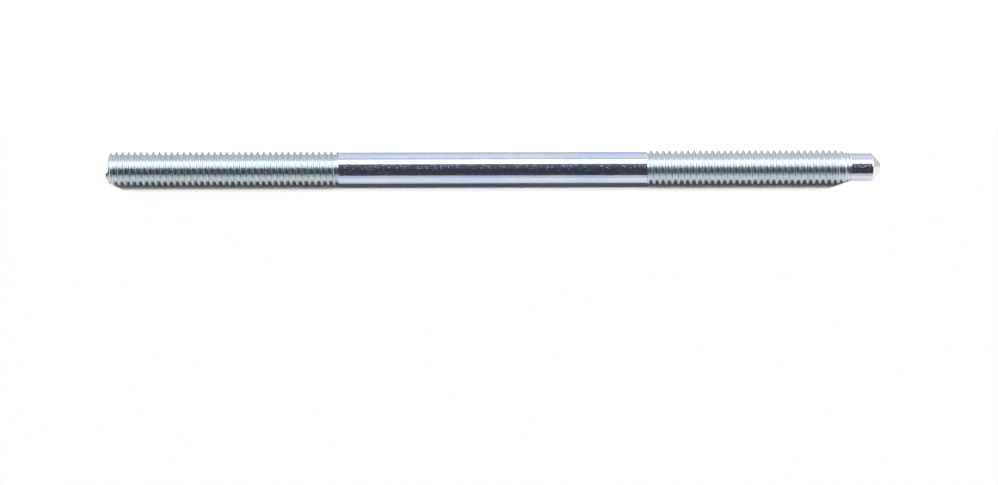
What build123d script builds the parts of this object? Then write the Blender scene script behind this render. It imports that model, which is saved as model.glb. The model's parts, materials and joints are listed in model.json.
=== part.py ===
from build123d import *

import os

# Cylinder stud: one turned steel rod with a rolled thread at each end, a plain reduced shank between
# them, and a pilot with a cone tip beyond the second thread.
#
# It lies along +X with +Z up. The origin is the centre of the flat face of the plain end, and the cone
# tip is at the far end. Sizes are in millimetres and degrees.
#
# Both threads are right-handed 5/16-18 UNC. Each is modelled as a plain cylinder over its crests, which
# is the envelope that a nut, a tapped hole or a gauge sees.

# Overall size
OVERALL_LENGTH = 177.8          # 7 in, from the plain end's face to the flat of the cone tip
THREAD_DIAMETER = 7.90          # over the crests of either thread

# Plain end
PLAIN_THREAD_LENGTH = 53.4      # from the end face to where the shank begins, run-out included
END_FACE_DIAMETER = 6.50        # flat left inside the end chamfer
END_CHAMFER_LENGTH = 0.60

# Shank
SHANK_DIAMETER = 7.30           # rolling blank, close to the pitch diameter of the thread
RUN_OUT_LENGTH = 0.70           # half a turn of thread fading into the shank

# Pilot end, in order from the shank to the tip
PILOT_THREAD_LENGTH = 44.4      # full crests, with the run-out at the shank and without the lead
LEAD_LENGTH = 3.40              # taper over the last two turns, down to the pilot
PILOT_DIAMETER = 6.30
PILOT_LENGTH = 4.90
TIP_LENGTH = 1.85               # the cone alone
TIP_FLAT_DIAMETER = 1.80
SHOULDER_RADIUS = 0.35          # rounding between the pilot and the cone

# Stations along the axis, worked out from both ends towards the shank
tip_start = OVERALL_LENGTH - TIP_LENGTH
pilot_start = tip_start - PILOT_LENGTH
lead_start = pilot_start - LEAD_LENGTH
shank_end = lead_start - PILOT_THREAD_LENGTH


def stud_outline():
    """Half of the stud's lengthwise section, as a closed face on the XZ plane above the axis."""
    thread_radius = THREAD_DIAMETER / 2
    shank_radius = SHANK_DIAMETER / 2
    pilot_radius = PILOT_DIAMETER / 2

    plain_end = [
        (0, 0),
        (0, END_FACE_DIAMETER / 2),
        (END_CHAMFER_LENGTH, thread_radius),
        (PLAIN_THREAD_LENGTH - RUN_OUT_LENGTH, thread_radius),
    ]
    shank = [
        (PLAIN_THREAD_LENGTH, shank_radius),
        (shank_end, shank_radius),
    ]
    pilot_end = [
        (shank_end + RUN_OUT_LENGTH, thread_radius),
        (lead_start, thread_radius),
        (pilot_start, pilot_radius),
        (tip_start, pilot_radius),
        (OVERALL_LENGTH, TIP_FLAT_DIAMETER / 2),
        (OVERALL_LENGTH, 0),
    ]
    section = Plane.XZ * make_face(Polyline(*plain_end, *shank, *pilot_end, close=True))
    shoulder = section.vertices().sort_by_distance((tip_start, 0, pilot_radius))[0]
    return fillet(shoulder, SHOULDER_RADIUS)


def stud():
    """The whole stud, turned from its section in one piece."""
    return revolve(stud_outline(), Axis.X)


os.makedirs("parts", exist_ok=True)
export_step(stud(), "parts/stud.step")
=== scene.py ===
import json
import logging
import math
from collections.abc import Callable
from dataclasses import dataclass
from enum import Enum
from typing import Any

import bpy
import numpy as np
from mathutils import Matrix, Vector


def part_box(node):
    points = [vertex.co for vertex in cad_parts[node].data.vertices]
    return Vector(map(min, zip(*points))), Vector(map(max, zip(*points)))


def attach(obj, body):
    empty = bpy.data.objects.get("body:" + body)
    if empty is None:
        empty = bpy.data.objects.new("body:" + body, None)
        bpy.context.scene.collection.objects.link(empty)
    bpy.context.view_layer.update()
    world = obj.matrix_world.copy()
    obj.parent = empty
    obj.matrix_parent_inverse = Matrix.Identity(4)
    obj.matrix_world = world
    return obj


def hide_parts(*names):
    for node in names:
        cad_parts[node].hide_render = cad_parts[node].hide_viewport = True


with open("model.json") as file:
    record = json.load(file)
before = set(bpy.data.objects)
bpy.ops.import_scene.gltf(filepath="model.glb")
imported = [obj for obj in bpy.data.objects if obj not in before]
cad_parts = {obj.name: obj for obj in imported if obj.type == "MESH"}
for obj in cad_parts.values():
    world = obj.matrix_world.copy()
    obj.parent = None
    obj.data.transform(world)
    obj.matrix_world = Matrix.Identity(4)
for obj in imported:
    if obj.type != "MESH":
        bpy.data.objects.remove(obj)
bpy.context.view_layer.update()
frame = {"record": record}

MM = 0.001
INCH = 25.4 * MM
THREADS_PER_INCH = 18
ROOT_RADIUS = 3.10 * MM
SHANK_RADIUS = 3.65 * MM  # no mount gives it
HALF_TURN = 180.0
NODE = "stud"

log = logging.getLogger("cylinder_stud")

Colour = tuple[float, float, float]
Span = tuple[float, float]
RadiusAt = Callable[[np.ndarray, np.ndarray], np.ndarray]

WHITE: Colour = (1.0, 1.0, 1.0)


# ---------------------------------------------------------------------------------------------------
# Shader writing
# ---------------------------------------------------------------------------------------------------


class Wire:
    """A number coming out of a node. Arithmetic on it adds Math nodes to its sheet."""

    def __init__(self, sheet: "NodeSheet", socket: bpy.types.NodeSocket) -> None:
        """Wraps one output socket of a node on the sheet."""
        self.sheet = sheet
        self.socket = socket

    def _math(self, operation: str, *values: Any) -> "Wire":
        """Adds one Math node over the values, in order."""
        return self.sheet.add("ShaderNodeMath", {"operation": operation}, dict(enumerate(values)))

    def __add__(self, other: Any) -> "Wire":
        """self + other."""
        return self._math("ADD", self, other)

    def __radd__(self, other: Any) -> "Wire":
        """other + self."""
        return self._math("ADD", other, self)

    def __sub__(self, other: Any) -> "Wire":
        """self - other."""
        return self._math("SUBTRACT", self, other)

    def __rsub__(self, other: Any) -> "Wire":
        """other - self."""
        return self._math("SUBTRACT", other, self)

    def __mul__(self, other: Any) -> "Wire":
        """self * other."""
        return self._math("MULTIPLY", self, other)

    def __rmul__(self, other: Any) -> "Wire":
        """other * self."""
        return self._math("MULTIPLY", other, self)

    def __truediv__(self, other: Any) -> "Wire":
        """self / other."""
        return self._math("DIVIDE", self, other)

    def __rtruediv__(self, other: Any) -> "Wire":
        """other / self."""
        return self._math("DIVIDE", other, self)

    def __neg__(self) -> "Wire":
        """-self."""
        return self._math("MULTIPLY", self, -1.0)

    def __abs__(self) -> "Wire":
        """abs(self)."""
        return self._math("ABSOLUTE", self)

    def angle_from(self, other: Any) -> "Wire":
        """The angle whose sine is along self and whose cosine is along other, in radians."""
        return self._math("ARCTAN2", self, other)

    def at_most(self, other: Any) -> "Wire":
        """The smaller of self and other."""
        return self._math("MINIMUM", self, other)

    def step(self, low: float, high: float) -> "Wire":
        """A smooth rise from 0 to 1.

        Args:
            low: the value of self at which the rise starts.
            high: the value of self at which it has reached 1.

        Returns:
            The wire that holds the rise.
        """
        sockets = {"Value": self, "From Min": low, "From Max": high}
        return self.sheet.add("ShaderNodeMapRange", {"interpolation_type": "SMOOTHSTEP"}, sockets)


@dataclass(frozen=True)
class Cloud:
    """A cloudy pattern, with its scale in patches to the millimetre.

    Where along is under 1, the patches are longer along the stud than across it.
    """

    scale: float
    detail: float = 2.0
    roughness: float = 0.5
    along: float = 1.0


class NodeSheet:
    """The node tree of one material or world, emptied and ready to be written."""

    def __init__(self, owner: bpy.types.Material | bpy.types.World) -> None:
        """Empties the owner's tree and keeps it."""
        owner.use_nodes = True
        self.tree = owner.node_tree
        self.tree.nodes.clear()

    def add(
        self, kind: str, settings: dict[str, Any], sockets: dict[Any, Any], out: Any = 0
    ) -> Wire | None:
        """Adds one node.

        Args:
            kind: the node's type.
            settings: its properties, set first; "stops" holds a ramp's (place, colour) pairs.
            sockets: a value or a wire for each input, by the input's name or number.
            out: the name or number of the output to return.

        Returns:
            The chosen output, or nothing for a node that has no output.
        """
        node = self.tree.nodes.new(kind)
        for name, value in settings.items():
            if name == "stops":
                self._set_stops(node.color_ramp, value)
            else:
                setattr(node, name, value)
        for name, value in sockets.items():
            if isinstance(value, Wire):
                self.tree.links.new(value.socket, node.inputs[name])
            else:
                node.inputs[name].default_value = value
        return Wire(self, node.outputs[out]) if len(node.outputs) else None

    @staticmethod
    def _set_stops(ramp: bpy.types.ColorRamp, stops: list[tuple[float, Colour]]) -> None:
        """Gives a colour ramp its stops.

        Args:
            ramp: the ramp to fill.
            stops: its places and colours, in rising order of place.
        """
        while len(ramp.elements) > 1:
            ramp.elements.remove(ramp.elements[-1])
        ramp.elements[0].position = stops[0][0]
        ramp.elements[0].color = (*stops[0][1], 1.0)
        for place, colour in stops[1:]:
            ramp.elements.new(place).color = (*colour, 1.0)

    def mix(self, factor: Any, first: Any, second: Any) -> Wire:
        """Mixes two colours: first where the factor is 0 and second where it is 1."""
        first, second = ((*c, 1.0) if isinstance(c, tuple) else c for c in (first, second))
        return self.add("ShaderNodeMix", {"data_type": "RGBA"}, {0: factor, 6: first, 7: second}, out=2)

    def colours(self, place: Wire, stops: list[tuple[float, Colour]]) -> Wire:
        """Picks a colour between stops, whose places go from 0 to 1."""
        return self.add("ShaderNodeValToRGB", {"stops": stops}, {0: place}, out="Color")

    def blend(self, factor: Any, first: Wire, second: Wire) -> Wire:
        """Mixes two shaders: first where the factor is 0 and second where it is 1."""
        return self.add("ShaderNodeMixShader", {}, {0: factor, 1: first, 2: second})

    def diffuse(self, colour: Any) -> Wire:
        """A matt surface of one colour or of a wire's colours."""
        colour = (*colour, 1.0) if isinstance(colour, tuple) else colour
        return self.add("ShaderNodeBsdfDiffuse", {}, {"Color": colour})

    def glow(self, colour: Colour) -> Wire:
        """A surface that gives off the colour evenly."""
        return self.add("ShaderNodeEmission", {}, {"Color": (*colour, 1.0), "Strength": 1.0})

    def place(self, kind: str) -> Wire:
        """Where the shaded point is, in the named coordinates."""
        return self.add("ShaderNodeTexCoord", {}, {}, out=kind)

    def axis(self, vector: Wire, name: str) -> Wire:
        """One axis of a vector."""
        return self.add("ShaderNodeSeparateXYZ", {}, {0: vector}, out=name)

    def ray(self, question: str) -> Wire:
        """What is known of the ray that met the point."""
        return self.add("ShaderNodeLightPath", {}, {}, out=question)

    def attribute(self, name: str) -> Wire:
        """A number that the mesh holds at its points."""
        return self.add("ShaderNodeAttribute", {"attribute_name": name}, {}, out="Fac")

    def stretch(self, vector: Wire, factors: tuple[float, float, float]) -> Wire:
        """Scales a vector by a factor on each axis."""
        return self.add("ShaderNodeVectorMath", {"operation": "MULTIPLY"}, {0: vector, 1: factors})

    def noise(self, vector: Wire, cloud: Cloud) -> Wire:
        """Draws a cloud.

        Args:
            vector: the place, in millimetres.
            cloud: the pattern to draw.

        Returns:
            The pattern, which stays around 0.5.
        """
        sockets = {
            "Vector": self.stretch(vector, (cloud.along, 1.0, 1.0)),
            "Scale": cloud.scale,
            "Detail": cloud.detail,
            "Roughness": cloud.roughness,
        }
        return self.add("ShaderNodeTexNoise", {}, sockets, out="Fac")


# ---------------------------------------------------------------------------------------------------
# Finishes
# ---------------------------------------------------------------------------------------------------


@dataclass(frozen=True)
class ZincPlate:
    """Bright zinc plate under a thin clear passivate, which tints it blue, violet and pale green.

    Ranges are the values of a pattern between which a colour comes in, and shares are how much of it
    comes in. The mesh's "rolled" attribute is 0 on turned metal, 1 on the plain end's thread and more on
    the coarser thread at the pilot end. A second attribute says how much painted shade darkens the crease
    in each crest's seam and in the thread's root, standing in for the shade that falls there.
    """

    plain: Colour = (0.70, 0.76, 0.86)
    blue: Colour = (0.60, 0.72, 0.92)
    violet: Colour = (0.70, 0.68, 0.90)
    rolled: Colour = (0.73, 0.78, 0.795)
    rolled_cool: Colour = (0.68, 0.77, 0.81)
    pilot: Colour = (0.71, 0.725, 0.85)
    cone: Colour = (0.84, 0.83, 0.84)
    rolled_pit: Colour = (0.50, 0.55, 0.59)
    rolled_coarse: Colour = (0.77, 0.84, 0.865)
    # painted shade: near black, laid in the crease of each crest's seam and in the thread's root
    seam: Colour = (0.09, 0.10, 0.11)
    film: Cloud = Cloud(0.22, detail=3.0, along=0.35)
    patches: Cloud = Cloud(0.55, along=0.6)
    grain: Cloud = Cloud(6.0, detail=4.0, roughness=0.65)
    wave: Cloud = Cloud(1.3)
    blue_range: Span = (0.42, 0.62)
    violet_range: Span = (0.52, 0.70)
    violet_share: float = 0.8
    cool_range: Span = (0.35, 0.65)
    coarse_range: Span = (1.0, 1.3)
    pit_range: Span = (0.50, 0.66)
    pit_share: float = 0.4
    pilot_blur: float = 0.5 * MM
    cone_blur: float = 0.2 * MM
    polish: float = 0.14
    rolled_roughness: float = 0.24
    roughness_spread: float = 0.10
    grain_height: float = 0.004 * MM
    wave_height: float = 0.016 * MM
    grit_height: float = 0.050 * MM
    grit_size: float = 0.23
    grit_spread: float = 2.2
    bump_strength: float = 0.6

    def material(self, pilot: Span) -> bpy.types.Material:
        """Builds the plate's material.

        Args:
            pilot: where the pilot starts and ends along the axis; its plate is less blue.

        Returns:
            One material for the whole stud.
        """
        material = bpy.data.materials.new("zinc_plate_passivated")
        sheet = NodeSheet(material)
        here = sheet.place("Object")
        place = sheet.stretch(here, (1 / MM, 1 / MM, 1 / MM))
        rolled, mark = sheet.attribute("rolled"), sheet.attribute("mark")

        film, patches = sheet.noise(place, self.film), sheet.noise(place, self.patches)
        grain, wave = sheet.noise(place, self.grain), sheet.noise(place, self.wave)
        sockets = {"Vector": place, "Scale": self.grit_spread, "Randomness": 1.0}
        grit = sheet.add("ShaderNodeTexVoronoi", {}, sockets, out="Distance").step(self.grit_size, 0.0)

        smooth = sheet.mix(film.step(*self.blue_range), self.plain, self.blue)
        smooth = sheet.mix(patches.step(*self.violet_range) * self.violet_share, smooth, self.violet)
        along, (start, stop) = sheet.axis(here, "X"), pilot
        smooth = sheet.mix(along.step(start - self.pilot_blur, start), smooth, self.pilot)
        smooth = sheet.mix(along.step(stop - self.cone_blur, stop + self.cone_blur), smooth, self.cone)
        thread = sheet.mix(patches.step(*self.cool_range), self.rolled, self.rolled_cool)
        thread = sheet.mix(rolled.step(*self.coarse_range), thread, self.rolled_coarse)
        thread = sheet.mix(grain.step(*self.pit_range) * self.pit_share, thread, self.rolled_pit)
        # painted shade: the creases of the seam and the root go towards the near-black colour
        colour = sheet.mix(mark, sheet.mix(rolled.at_most(1.0), smooth, thread), self.seam)

        roughness = self.polish + rolled * (self.rolled_roughness - self.polish)
        roughness = roughness + (grain - 0.5) * self.roughness_spread
        height = grain * self.grain_height + wave * self.wave_height + grit * self.grit_height
        sockets = {"Strength": self.bump_strength, "Distance": 1.0, "Height": height}
        bump = sheet.add("ShaderNodeBump", {}, sockets)
        sockets = {"Base Color": colour, "Metallic": 1.0, "Roughness": roughness, "Normal": bump}
        shader = sheet.add("ShaderNodeBsdfPrincipled", {}, sockets)
        sheet.add("ShaderNodeOutputMaterial", {}, {"Surface": shader})
        return material


@dataclass(frozen=True)
class WhitePaper:
    """The matt white sheet that the stud lies on.

    It has a reflectance of its own for the camera (seen), for reflections (near the stud and far from
    it) and for light that has already bounced off something matt (under). For reflections the paper
    carries a painted pool of light near the stud's front and is darker behind the stud and far off. The
    darker reflectance for bounced light deepens the stud's shadow on the paper, and a faint glow that
    only reflections and bounced light see is painted light that lifts that shadow as the metal shows it.
    The glow values are where, towards each end, the camera starts to see plain white with no shadow on
    it: there the paper glows, painted light that wipes out the stud's shadow.
    """

    # reflections see the paper as a painted pool of light near the stud's front (near) and darker
    # elsewhere (far)
    near: Colour = (0.76, 0.76, 0.76)
    far: Colour = (0.46, 0.46, 0.46)
    # darker paper for light that has bounced off something matt, which deepens the stud's shadow
    under: Colour = (0.13, 0.13, 0.13)
    seen: Colour = (1.10, 1.10, 1.10)
    # painted light: a faint glow of the paper for reflections and bounced light, which lifts its shadow
    fill: Colour = (0.70, 0.70, 0.74)
    fill_share: float = 0.11
    # where the painted pool of light fades out in front of the stud and behind it
    painted_pool_front: Span = (-22 * MM, -5 * MM)
    painted_pool_back: Span = (0.0, 4 * MM)
    # painted light: beyond these slanting lines the paper glows white over the stud's shadow
    plain_end_glow: float = -2.85 * MM
    plain_end_slope: float = 1.92
    plain_end_blur: float = 0.3 * MM
    pilot_end_glow: float = 174.4 * MM
    pilot_end_slope: float = 2.4
    pilot_end_blur: float = 0.5 * MM

    def material(self) -> bpy.types.Material:
        """Builds the paper's material.

        Returns:
            The material, which the camera sees brighter than the stud reflects it.
        """
        material = bpy.data.materials.new("white_paper")
        sheet = NodeSheet(material)
        place = sheet.place("Object")
        x, y = (sheet.axis(place, name) for name in "XY")
        # painted pool of light for reflections: bright near the stud's front, darker behind it and far
        # off
        painted_light_pool = y.step(*self.painted_pool_front) * (1 - y.step(*self.painted_pool_back))
        colour = sheet.mix(painted_light_pool, self.far, self.near)
        # the paper is darker to bounced light, which deepens the shadow under the stud
        colour = sheet.mix(sheet.ray("Diffuse Depth").at_most(1.0), colour, self.under)
        # painted light: the paper glows faintly for reflections and bounced light
        plain = sheet.blend(self.fill_share, sheet.diffuse(colour), sheet.glow(self.fill))
        # painted light: beyond the slanting lines at both ends the paper glows white over the stud's
        # shadow
        seen = sheet.blend(self.glow_mask(x, y), sheet.diffuse(self.seen), sheet.glow(WHITE))
        shader = sheet.blend(sheet.ray("Is Camera Ray"), plain, seen)
        sheet.add("ShaderNodeOutputMaterial", {}, {"Surface": shader})
        return material

    def glow_mask(self, x: Wire, y: Wire) -> Wire:
        """Marks where the paper glows plain white for the camera, painted light that wipes out the stud's
        shadow.

        Args:
            x: the place along the stud.
            y: the place across it.

        Returns:
            1 beyond the slanting line at either end and 0 between the two lines.
        """
        place, blur = self.pilot_end_glow, self.pilot_end_blur
        beyond = (x - self.pilot_end_slope * y).step(place - blur, place + blur)
        place, blur = self.plain_end_glow, self.plain_end_blur
        return beyond + 1 - (x + self.plain_end_slope * y).step(place - blur, place + blur)


# ---------------------------------------------------------------------------------------------------
# The stud
# ---------------------------------------------------------------------------------------------------


def put_in_scene(name: str, data: bpy.types.ID, placement: Matrix | None = None) -> bpy.types.Object:
    """Makes an object and puts it in the scene.

    Args:
        name: the object's name.
        data: its mesh, light or camera.
        placement: where it stands and how it is turned; left out, it stays at the origin.

    Returns:
        The object.
    """
    made = bpy.data.objects.new(name, data)
    if placement is not None:
        made.matrix_world = placement
    bpy.context.scene.collection.objects.link(made)
    return made


class Hand(Enum):
    """Which way a thread winds."""

    RIGHT = 1
    LEFT = -1


def soft_min(first: np.ndarray, second: np.ndarray, width: float) -> np.ndarray:
    """The smaller of two values, with the corner between them rounded over the width."""
    share = np.clip(0.5 + 0.5 * (second - first) / width, 0.0, 1.0)
    return second + (first - second) * share - width * share * (1.0 - share)


def ramp(value: np.ndarray, low: float, high: float) -> np.ndarray:
    """A smooth rise from 0 at low to 1 at high."""
    share = np.clip((value - low) / (high - low), 0.0, 1.0)
    return share * share * (3.0 - 2.0 * share)


@dataclass(frozen=True)
class ThreadForm:
    """A rolled 60 degree thread over one pitch, with the lap seam that rolling leaves on its crest.

    Rounding is a share of the thread's height. Crest and seam shares, and everything else along the
    axis, are shares of the pitch. The seam's core is the share of its width that painted shade darkens
    fully, and its depth is a share of the thread's height. The seam's crease and the thread's root carry
    painted shade. Coarseness says how much of the rolled finish the thread has.
    """

    pitch: float
    crest_radius: float
    root_radius: float
    rounding: float
    crest_share: float
    coarseness: float
    seam_shade: float
    root_shade: float
    seam_share: float
    seam_core: float = 0.3
    seam_depth: float = 0.05
    flank_angle: float = 30.0
    hand: Hand = Hand.RIGHT

    @property
    def flank_share(self) -> float:
        """How much of the pitch one flank takes."""
        height = self.crest_radius - self.root_radius
        return height * math.tan(math.radians(self.flank_angle)) / self.pitch

    def rows(self) -> list[float]:
        """Chooses where the section needs a point.

        Returns:
            Places over one pitch from the crest's middle, closest beside the seam, at the crest's corner,
            at the flank's foot and beside the mark in the root.
        """
        edge = self.crest_share / 2
        foot = edge + self.flank_share
        in_seam, beside_root = 0.55 * self.seam_share, 0.5 - 0.8 * self.seam_share
        before_corner, past_corner, before_foot = 0.8 * edge, 1.3 * edge, foot - 0.35 * edge
        half = [in_seam, before_corner, past_corner, (edge + foot) / 2, before_foot, beside_root]
        return [0.0, *half, 0.5, *(1.0 - place for place in reversed(half))]

    def height(self, phase: np.ndarray) -> np.ndarray:
        """The section's height.

        Args:
            phase: distance along the stud from a crest's middle, in pitches.

        Returns:
            1 on the crest and 0 at the root.
        """
        slope = (self.crest_share / 2 + self.flank_share - self.away(phase)) / self.flank_share
        below = soft_min(slope, np.ones_like(slope), self.rounding)
        above = -soft_min(-below, np.zeros_like(below), self.rounding)
        return above - self.seam_depth * self.mark(phase)

    @staticmethod
    def away(phase: np.ndarray) -> np.ndarray:
        """How far a phase is from the nearest crest's middle, up to half a pitch."""
        return np.abs((phase + 0.5) % 1.0 - 0.5)

    def mark(self, phase: np.ndarray) -> np.ndarray:
        """How much painted shade darkens the creases, which also sets how deep the creases are cut.

        Args:
            phase: distance along the stud from a crest's middle, in pitches.

        Returns:
            The painted shade in the seam's crease on the crest and in the root, and 0 on the flanks.
        """
        away, core = self.away(phase), self.seam_core * self.seam_share
        # painted shade weights: the seam's crease on the crest, and the root
        seam = ramp(-away, -self.seam_share, -core)
        root = ramp(away, 0.5 - self.seam_share, 0.5 - core)
        return self.seam_shade * seam + self.root_shade * root

    def radius(self, x: np.ndarray, angle: np.ndarray, crest_x: float) -> np.ndarray:
        """The thread's own radius, before its ends are shaped.

        Args:
            x: places along the axis.
            angle: angles about it, from +Y towards +Z.
            crest_x: where a crest's middle crosses the angle 0.

        Returns:
            The radius at each place.
        """
        height = self.height(self.phase(x, angle, crest_x))
        return self.root_radius + (self.crest_radius - self.root_radius) * height

    def phase(self, x: np.ndarray, angle: np.ndarray, crest_x: float) -> np.ndarray:
        """How far a place lies from the crest's middle, in pitches; the arguments are as for radius."""
        return (x - crest_x) / self.pitch - self.hand.value * angle / (2 * math.pi)


@dataclass
class Skin:
    """Points and faces of one closed mesh while it is being put together.

    Each point also has how much of the rolled finish it shows and how much painted shade darkens its
    crease there.
    """

    columns: int
    points: list[tuple[float, float, float]]
    rolled: list[float]
    crease_shades: list[float]
    faces: list[tuple[int, ...]]

    @property
    def angles(self) -> np.ndarray:
        """The columns' angles about the axis, from +Y towards +Z."""
        return np.arange(self.columns) * (2 * math.pi / self.columns)

    def add_point(self, x: float, angle: float, radius: float, rolled: float, mark: float = 0.0) -> int:
        """Adds a point.

        Args:
            x: its place along the axis.
            angle: its angle about the axis, from +Y towards +Z.
            radius: its distance from the axis.
            rolled: how much of the rolled finish it shows.
            mark: how much painted shade darkens its crease there.

        Returns:
            The point's number.
        """
        self.points.append((x, radius * math.cos(angle), radius * math.sin(angle)))
        self.rolled.append(rolled)
        self.crease_shades.append(mark)
        return len(self.points) - 1

    def add_ring(self, xs: np.ndarray, radii: np.ndarray, rolled: np.ndarray) -> list[int]:
        """Adds one point a column and returns their numbers."""
        return [self.add_point(*values) for values in zip(xs, self.angles, radii, rolled)]

    def add_face(self, *corners: int) -> None:
        """Adds a face, leaving out repeated corners and faces that have no area."""
        kept = tuple(dict.fromkeys(corners))
        if len(kept) > 2:
            self.faces.append(kept)

    def join(self, low: list[int], high: list[int]) -> None:
        """Fills the band between two rings.

        Args:
            low: the numbers of one ring's points.
            high: the numbers of the next ring's, further along +X.
        """
        for here in range(self.columns):
            there = (here + 1) % self.columns
            self.add_face(low[here], low[there], high[there], high[here])

    def cap(self, ring: list[int], x: float, rolled: float, facing_back: bool) -> None:
        """Closes a ring with a fan about a point on the axis.

        Args:
            ring: the numbers of the ring's points.
            x: where the middle point is along the axis.
            rolled: how much of the rolled finish it shows.
            facing_back: whether the cap faces -X.
        """
        middle = self.add_point(x, 0.0, 0.0, rolled)
        for here in range(self.columns):
            there = (here + 1) % self.columns
            corners = (ring[here], ring[there], middle)
            self.add_face(*(reversed(corners) if facing_back else corners))


@dataclass
class StudBody:
    """The whole stud: plain threaded end, shank, and the threaded end with a pilot and a cone tip.

    The plain end's face is a shallow cup inside a rim that is folded over a little. The rim reaches
    furthest on the near side and stands back from there, as lip_step and lip_fall say in degrees about
    the axis. The crests are where a crest's middle crosses +Y. The lead's fade and the rows' margin are
    in pitches. The tip's blunt edge is given in tip edges: where the cone stops, then the rings, each by
    its distance back from the tip and out from the rim of the flat.
    """

    length: float
    plain_thread: Span
    pilot_thread: Span
    pilot: Span
    pilot_radius: float
    shank_radius: float
    plain_form: ThreadForm
    pilot_form: ThreadForm
    plain_run_out: float = 0.75 * MM
    pilot_run_out: float = -0.15 * MM
    run_out: float = 0.56 * MM
    end_radius: float = 3.12 * MM
    end_taper: float = 0.95 * MM
    end_blend: float = 0.10 * MM
    lead_blend: float = 0.12 * MM
    lead_fade: float = 0.8
    lip_reach: float = 0.60 * MM
    lip_depth: float = 1.30 * MM
    lip_step: Span = (38.0, 46.0)
    lip_fall: Span = (-30.0, 16.0)
    lip_power: int = 14
    cup_depth: float = 0.35 * MM
    cup_power: int = 4
    cup_rings: tuple[float, ...] = (0.97, 0.92, 0.82, 0.65, 0.45, 0.2)
    cup_rolled: float = 0.5
    shank_rings: int = 26
    shank_edge: Span = (0.045 * MM, 0.15 * MM)
    pilot_edge: Span = (0.3 * MM, 0.2 * MM)
    pilot_overrun: float = 0.165 * MM
    shoulder_radius: float = 0.35 * MM
    shoulder_rings: int = 7
    tip_flat_radius: float = 0.90 * MM
    tip_edge: float = 0.12 * MM
    tip_cone_stop: float = 2.2
    tip_rings: tuple[Span, ...] = ((0.5, 0.3), (0.0, -1.2))
    columns: int = 80
    row_margin: float = 0.02
    spare_turns: int = 2
    first_crest: float = 0.775 * MM
    second_crest: float = 125.02 * MM

    @property
    def shank_span(self) -> Span:
        """Where the plain shank starts and ends along the axis."""
        return self.plain_thread[1] + self.plain_run_out, self.pilot_thread[0] - self.pilot_run_out

    # --- the surface as formulas ---

    def plain_end_radius(self, x: np.ndarray, angle: np.ndarray) -> np.ndarray:
        """The radius over the plain end's thread, from its chamfer to the shank.

        Args:
            x: places along the axis.
            angle: angles about it, from +Y towards +Z.

        Returns:
            The radius at each place.
        """
        major = self.plain_form.crest_radius
        radius = self.plain_form.radius(x, angle, self.first_crest)
        chamfer = major - (major - self.end_radius) * np.exp(-x / self.end_taper)
        radius = soft_min(radius, chamfer, self.end_blend)
        stop = self.shank_span[0]
        return radius + (self.shank_radius - radius) * ramp(x, stop - self.run_out, stop)

    def pilot_end_radius(self, x: np.ndarray, angle: np.ndarray) -> np.ndarray:
        """The radius over the pilot end's thread, from the shank to the end of its lead.

        Args:
            x: places along the axis.
            angle: angles about it, from +Y towards +Z.

        Returns:
            The radius at each place.
        """
        start = self.shank_span[1]
        lead, pilot_start = self.pilot_thread[1], self.pilot[0]
        major = self.pilot_form.crest_radius
        radius = self.pilot_form.radius(x, angle, self.second_crest)
        radius = self.shank_radius + (radius - self.shank_radius) * ramp(x, start, start + self.run_out)
        slope = (major - self.pilot_radius) / (pilot_start - lead)
        cone = major - slope * (x - lead)
        radius = soft_min(radius, cone, self.lead_blend)
        fade = ramp(x, pilot_start - self.lead_fade * self.pilot_form.pitch, pilot_start)
        return radius + (self.pilot_radius - radius) * fade

    def lip(self, angle: np.ndarray) -> np.ndarray:
        """How far the plain end's rim stands back from its foremost point.

        Args:
            angle: angles about the axis, from +Y towards +Z.

        Returns:
            The distance at each angle.
        """
        front = (math.pi - angle + math.pi) % (2 * math.pi) - math.pi
        step = ramp(front, *np.radians(self.lip_step))
        fall = 1.0 - ramp(front, *np.radians(self.lip_fall))
        return self.lip_reach * np.maximum(step, fall)

    # --- the mesh ---

    def helical_stretch(
        self, skin: Skin, form: ThreadForm, span: Span, crest_x: float, radius_at: RadiusAt
    ) -> tuple[list[int], list[int]]:
        """Lays a grid whose rows follow the thread, cut off square at both ends.

        Args:
            skin: the mesh to add to.
            form: the thread that the rows follow.
            span: where the stretch begins and ends along the axis.
            crest_x: where a crest's middle crosses the angle 0.
            radius_at: gives the radius at a place along and around the axis.

        Returns:
            The numbers of the points on the first ring and on the last.
        """
        pitch, rows = form.pitch, form.rows()
        start, stop = span
        angles = skin.angles
        first_turn = math.floor((start - crest_x) / pitch) - self.spare_turns
        last_turn = math.ceil((stop - crest_x) / pitch) + self.spare_turns
        places = np.array([turn + row for turn in range(first_turn, last_turn) for row in rows])
        xs = crest_x + pitch * (places[:, None] + angles[None, :] / (2 * math.pi))
        margin = self.row_margin * pitch
        inside = (xs > start + margin) & (xs < stop - margin)
        radii = radius_at(xs, angles[None, :])
        crease_shades = form.mark(form.phase(xs, angles[None, :], crest_x))
        ones = np.ones(self.columns)
        low, high = (
            skin.add_ring(x * ones, radius_at(x * ones, angles), form.coarseness * ones) for x in span
        )
        numbers = np.zeros(xs.shape, int)
        for column in range(self.columns):
            for row in range(len(places)):
                if inside[row, column]:
                    place = xs[row, column], angles[column], radii[row, column]
                    numbers[row, column] = skin.add_point(*place, form.coarseness, crease_shades[row, column])
                else:
                    numbers[row, column] = (low if xs[row, column] < (start + stop) / 2 else high)[column]
        turn = len(rows)
        for column in range(self.columns):
            wraps = column + 1 == self.columns
            following = 0 if wraps else column + 1
            shift = turn if wraps else 0
            for row in range(len(places) - 1 - turn):
                skin.add_face(
                    numbers[row, column],
                    numbers[row + shift, following],
                    numbers[row + 1 + shift, following],
                    numbers[row + 1, column],
                )
        return low, high

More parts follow.
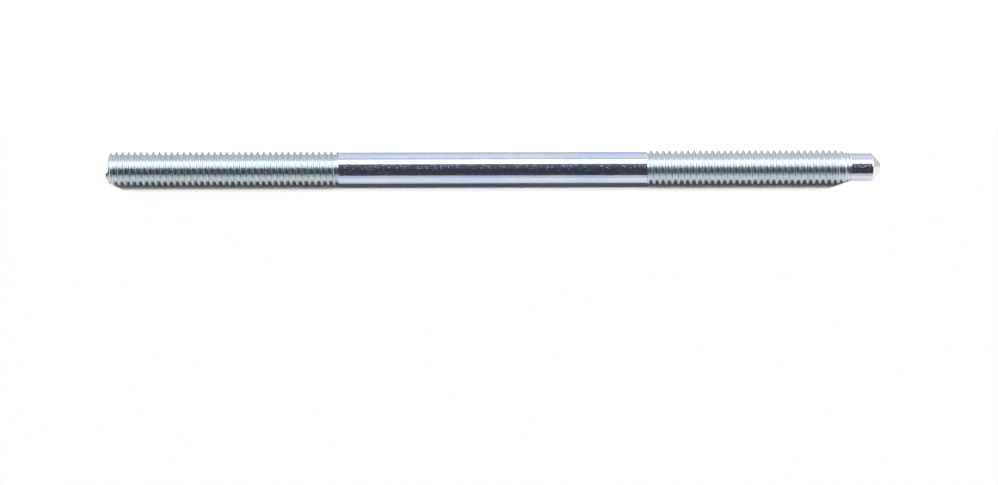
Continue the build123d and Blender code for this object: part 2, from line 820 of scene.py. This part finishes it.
    def plain_end_face(self, skin: Skin, rim: list[int]) -> None:
        """Closes the plain end with the shallow cup that rolling leaves, inside the raised lip.

        Args:
            skin: the mesh to add to.
            rim: the numbers of the points on the end's rim.
        """
        radius = np.array([math.hypot(*skin.points[number][1:]) for number in rim])
        raised = self.lip_reach - self.lip(skin.angles)
        outer = rim
        for share in self.cup_rings:
            xs = self.lip_reach + self.cup_depth * (1.0 - share**self.cup_power)
            xs = xs - raised * share**self.lip_power
            ring = skin.add_ring(xs, radius * share, np.full(self.columns, self.cup_rolled))
            skin.join(ring, outer)
            outer = ring
        skin.cap(outer, self.lip_reach + self.cup_depth, self.cup_rolled, facing_back=True)

    def shank(self, skin: Skin, low: list[int], high: list[int]) -> None:
        """Fills the plain shank between the two threads.

        Args:
            skin: the mesh to add to.
            low: the numbers of the points on the plain end thread's last ring.
            high: the numbers of the points on the pilot end thread's first ring.
        """
        (start, stop), (first, second) = self.shank_span, self.shank_edge
        places = np.linspace(start + second, stop - second, self.shank_rings)
        section = [(x, self.shank_radius) for x in (start + first, *places, stop - first)]
        skin.join(self.turned(skin, low, section), high)

    def turned(self, skin: Skin, rim: list[int], section: list[Span]) -> list[int]:
        """Adds a turned stretch, ring by ring.

        Args:
            skin: the mesh to add to.
            rim: the numbers of the points that it starts from.
            section: each ring's place along the axis and its radius.

        Returns:
            The numbers of the points on the last ring.
        """
        zeros = np.zeros(self.columns)
        for x, radius in section:
            ring = skin.add_ring(zeros + x, zeros + radius, zeros)
            skin.join(rim, ring)
            rim = ring
        return rim

    def pilot_and_tip(self, skin: Skin, rim: list[int]) -> None:
        """Adds the pilot, its rounded shoulder, the cone and the flat at its tip, whose edge is blunt.

        Args:
            skin: the mesh to add to.
            rim: the numbers of the points where the pilot starts.
        """
        cone_start, cone_angle = self.cone()
        radius, round_off = self.pilot_radius, self.shoulder_radius
        setback = round_off * math.tan(cone_angle / 2)
        first, last = self.pilot_edge
        section = [(self.pilot[0] + first, radius), (cone_start - setback - last, radius)]
        for turn in np.linspace(0.0, cone_angle, self.shoulder_rings):
            away = round_off * (1.0 - math.cos(turn))
            section.append((cone_start - setback + round_off * math.sin(turn), radius - away))
        flat, edge = self.tip_flat_radius, self.tip_edge
        stop = self.tip_cone_stop * edge
        section.append((self.length - stop, flat + stop * math.tan(cone_angle)))
        section += [(self.length - back * edge, flat + out * edge) for back, out in self.tip_rings]
        skin.cap(self.turned(skin, rim, section), self.length, 0.0, facing_back=False)

    def cone(self) -> Span:
        """Works out the cone at the tip.

        Returns:
            Where it would start if its shoulder were sharp, and its angle from the axis.
        """
        fall = self.pilot_radius - self.tip_flat_radius
        start = self.pilot[1] + self.pilot_overrun
        return start, math.atan2(fall, self.length - start)

    def build(self) -> bpy.types.Object:
        """Builds the stud as one closed piece.

        Returns:
            The object, with its finish on it.
        """
        skin = Skin(self.columns, [], [], [], [])
        shank_start, shank_stop = self.shank_span
        rim, shank_low = self.helical_stretch(
            skin, self.plain_form, (0.0, shank_start), self.first_crest, self.plain_end_radius
        )
        shank_high, pilot_low = self.helical_stretch(
            skin, self.pilot_form, (shank_stop, self.pilot[0]), self.second_crest, self.pilot_end_radius
        )
        self.push_lip(skin)
        self.plain_end_face(skin, rim)
        self.shank(skin, shank_low, shank_high)
        self.pilot_and_tip(skin, pilot_low)
        return self.as_object(skin)

    def push_lip(self, skin: Skin) -> None:
        """Moves the points near the plain end back by the lip's stand-off."""
        points = np.array(skin.points)
        angle = np.arctan2(points[:, 2], points[:, 1])
        near = np.clip(1.0 - points[:, 0] / self.lip_depth, 0.0, 1.0) ** 2
        points[:, 0] += self.lip(angle) * near
        skin.points = [tuple(point) for point in points]

    def as_object(self, skin: Skin) -> bpy.types.Object:
        """Turns the finished skin into a smooth-shaded object.

        Args:
            skin: the closed mesh's points and faces.

        Returns:
            The object, in the scene.
        """
        mesh = bpy.data.meshes.new("cylinder_stud")
        mesh.from_pydata(skin.points, [], skin.faces)
        for name, values in {"rolled": skin.rolled, "mark": skin.crease_shades}.items():
            attribute = mesh.attributes.new(name, "FLOAT", "POINT")
            attribute.data.foreach_set("value", np.array(values, np.float32))
        mesh.shade_smooth()
        mesh.materials.append(ZincPlate().material(self.pilot))
        return put_in_scene("cylinder_stud", mesh)


def stud_from_record() -> StudBody:
    """Reads the stud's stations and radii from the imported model.

    Returns:
        The stud, with its threads and pilot where the mounts say.
    """
    mounts = {mount["name"]: mount for mount in frame["record"]["mounts"]}

    def span(name: str) -> Span:
        """Finds where a mount's round wall is along the axis.

        Args:
            name: the mount's name.

        Returns:
            Its start and its stop.
        """
        middle = mounts[name]["pos_m"][0]
        half = mounts[name]["dims"]["length_mm"] * MM / 2
        return middle - half, middle + half

    low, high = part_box(NODE)
    major = mounts["plain_end_thread"]["dims"]["r_mm"] * MM
    pitch, root = INCH / THREADS_PER_INCH, ROOT_RADIUS
    return StudBody(
        length=high.x - low.x,
        plain_thread=span("plain_end_thread"),
        pilot_thread=span("pilot_end_thread"),
        pilot=span("pilot"),
        pilot_radius=mounts["pilot"]["dims"]["r_mm"] * MM,
        shank_radius=SHANK_RADIUS,
        plain_form=ThreadForm(
            pitch, major, root, rounding=0.14, crest_share=0.15,
            coarseness=1.0, seam_shade=0.90, root_shade=0.0, seam_share=0.06,
        ),
        pilot_form=ThreadForm(
            pitch, major, root, rounding=0.17, crest_share=0.18,
            coarseness=1.3, seam_shade=0.75, root_shade=0.25, seam_share=0.08,
        ),
    )


# ---------------------------------------------------------------------------------------------------
# The studio
# ---------------------------------------------------------------------------------------------------


@dataclass
class Studio:
    """A white floor under a light tent that is open, and so dark, on the camera's side.

    Over the stud the tent is an arch: dark, then a bright panel, a rail with a joint in it, a seam and
    the back. Beside it, the walls have a dark flap in front and a paler panel. Beyond them are the
    gables. The joint starts and stops at degrees over the arch. Its side and the ranges for walls and
    gables are values of the direction's X, between which each comes in.
    """

    floor_size: float = 3.0
    dark: Colour = (0.055, 0.054, 0.060)
    dusk: Colour = (0.090, 0.096, 0.112)
    hem: Colour = (0.15, 0.15, 0.17)
    panel: Colour = (2.8, 2.8, 2.8)
    side_panel: Colour = (1.9, 1.9, 1.9)
    rail: Colour = (0.68, 0.66, 0.63)
    joint: Colour = (0.80, 0.80, 0.82)
    seam: Colour = (0.81, 0.80, 0.78)
    back: Colour = (0.97, 1.0, 1.04)
    back_foot: Colour = (0.74, 0.78, 0.86)
    flap: Colour = (0.042, 0.050, 0.080)
    gable: Colour = (1.15, 1.12, 1.12)
    joint_start: Span = (105.5, 107.0)
    joint_stop: Span = (112.0, 113.5)
    joint_side: Span = (0.005, 0.015)
    wall_range: Span = (0.10, 0.30)
    gable_range: Span = (0.90, 0.97)
    strip_height: float = 1.0
    strip_forward: float = 0.17
    strip_size: Span = (1.4, 0.12)
    strip_power: float = 9.0
    wing_height: float = 3.0
    wing_across: Span = (0.80, 7.5)
    wing_forward: Span = (0.13, 1.48)
    wing_light: float = 2.1

    def floor(self) -> bpy.types.Object:
        """Lays the paper under the stud's lowest point.

        Returns:
            The floor.
        """
        low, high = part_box(NODE)
        half = self.floor_size / 2
        x, z = (low.x + high.x) / 2, low.z
        corners = [(x - half, -half, z), (x + half, -half, z), (x + half, half, z), (x - half, half, z)]
        mesh = bpy.data.meshes.new("floor")
        mesh.from_pydata(corners, [], [(0, 1, 2, 3)])
        mesh.materials.append(WhitePaper().material())
        return put_in_scene("floor", mesh)

    def arch(self) -> list[tuple[float, Colour]]:
        """Lays out the tent's colours over the stud.

        Returns:
            The stops, by degrees from the camera's side to the back.
        """
        return [
            (0, self.dark),
            (49, self.dark),
            (66, self.dusk),
            (87, self.hem),
            (90, self.panel),
            (116.5, self.panel),
            (119, self.rail),
            (128, self.rail),
            (131, self.seam),
            (137, self.seam),
            (141, self.back),
            (180, self.back_foot),
        ]

    def walls(self) -> list[tuple[float, Colour]]:
        """Lays out the tent's colours at both sides of the stud.

        Returns:
            The stops, by degrees from the camera's side to the back.
        """
        return [
            (0, self.dark),
            (20, self.flap),
            (85, self.flap),
            (88, self.side_panel),
            (120, self.side_panel),
            (132, self.seam),
            (180, self.back_foot),
        ]

    def tent(self) -> None:
        """Lights the scene from the tent, which the camera itself sees as plain white."""
        world = bpy.data.worlds.new("light_tent")
        bpy.context.scene.world = world
        sheet = NodeSheet(world)
        toward = sheet.place("Generated")
        x, y, z = (sheet.axis(toward, name) for name in "XYZ")
        over = z.angle_from(-y) / math.pi
        arch, walls = (
            sheet.colours(over, [(degrees / HALF_TURN, colour) for degrees, colour in stops])
            for stops in (self.arch(), self.walls())
        )
        degrees = over * HALF_TURN
        joint = degrees.step(*self.joint_start) * (1 - degrees.step(*self.joint_stop))
        arch = sheet.mix(joint * x.step(*self.joint_side), arch, self.joint)
        light = sheet.mix(abs(x).step(*self.wall_range), arch, walls)
        light = sheet.mix(abs(x).step(*self.gable_range), light, self.gable)
        lit = sheet.add("ShaderNodeBackground", {}, {"Color": light, "Strength": 1.0})
        white = sheet.add("ShaderNodeBackground", {}, {"Color": (*WHITE, 1.0), "Strength": 1.0})
        shader = sheet.blend(sheet.ray("Is Camera Ray"), lit, white)
        sheet.add("ShaderNodeOutputWorld", {}, {"Surface": shader})

    def lamp(self, name: str, place: Vector, size: Span, power: float) -> bpy.types.Object:
        """Hangs one rectangular lamp, long way along X.

        Args:
            name: the lamp's name.
            place: where its middle is.
            size: its length and width.
            power: its power in watts.

        Returns:
            The lamp.
        """
        data = bpy.data.lights.new(name, "AREA")
        data.shape = "RECTANGLE"
        data.size, data.size_y = size
        data.energy = power
        return put_in_scene(name, data, Matrix.Translation(place))

    def lamps(self) -> None:
        """Hangs a strip that lights the paper only, and two wings that show only in the metal."""
        low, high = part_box(NODE)
        middle = (low.x + high.x) / 2
        place = Vector((middle, -self.strip_forward, self.strip_height))
        strip = self.lamp("strip_lamp", place, self.strip_size, self.strip_power)
        strip.visible_glossy = False
        near, far = self.wing_across
        back, front = self.wing_forward
        size = (far - near, front - back)
        for side in (-1, 1):
            place = Vector((middle + side * (near + far) / 2, -(front + back) / 2, self.wing_height))
            power = self.wing_light * math.pi * size[0] * size[1]
            wing = self.lamp("wing_lamp", place, size, power)
            wing.visible_diffuse = False


@dataclass
class Viewpoint:
    """The camera, above the stud's near side; elevation and roll are in degrees."""

    elevation: float = 60.0
    distance: float = 0.80
    sensor: float = 36.0
    clip: Span = (0.01, 20.0)
    view_width: float = 229.4 * MM
    across: float = 1.26 * MM
    below: float = 17.20 * MM
    roll: float = 0.138

    def camera(self) -> bpy.types.Object:
        """Places the camera and makes it the scene's own.

        Returns:
            The camera object.
        """
        low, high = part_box(NODE)
        lean = math.radians(self.elevation)
        back = Vector((0.0, -math.cos(lean), math.sin(lean)))
        up = Vector((0.0, math.sin(lean), math.cos(lean)))
        middle = Vector(((low.x + high.x) / 2, 0.0, 0.0))
        target = middle + Vector((self.across, 0.0, 0.0)) - up * self.below
        data = bpy.data.cameras.new("camera")
        data.sensor_width = self.sensor
        data.lens = data.sensor_width * self.distance / self.view_width
        data.clip_start, data.clip_end = self.clip
        placement = (
            Matrix.Translation(target + back * self.distance)
            @ back.to_track_quat("Z", "Y").to_matrix().to_4x4()
            @ Matrix.Rotation(math.radians(-self.roll), 4, "Z")
        )
        camera = put_in_scene("camera", data, placement)
        bpy.context.scene.camera = camera
        return camera


def main() -> None:
    """Builds the stud and the studio around it."""
    logging.basicConfig(level=logging.INFO, format="%(name)s: %(message)s")
    bpy.context.scene.view_settings.view_transform = "Standard"

    piece = stud_from_record().build()
    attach(piece, "root")
    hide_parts(NODE)
    log.info("%s: %d faces", piece.name, len(piece.data.polygons))

    studio = Studio()
    floor = studio.floor()
    studio.tent()
    studio.lamps()
    camera = Viewpoint().camera()
    log.info("%s: %.0f mm lens", camera.name, camera.data.lens)


if __name__ == "__main__":
    main()
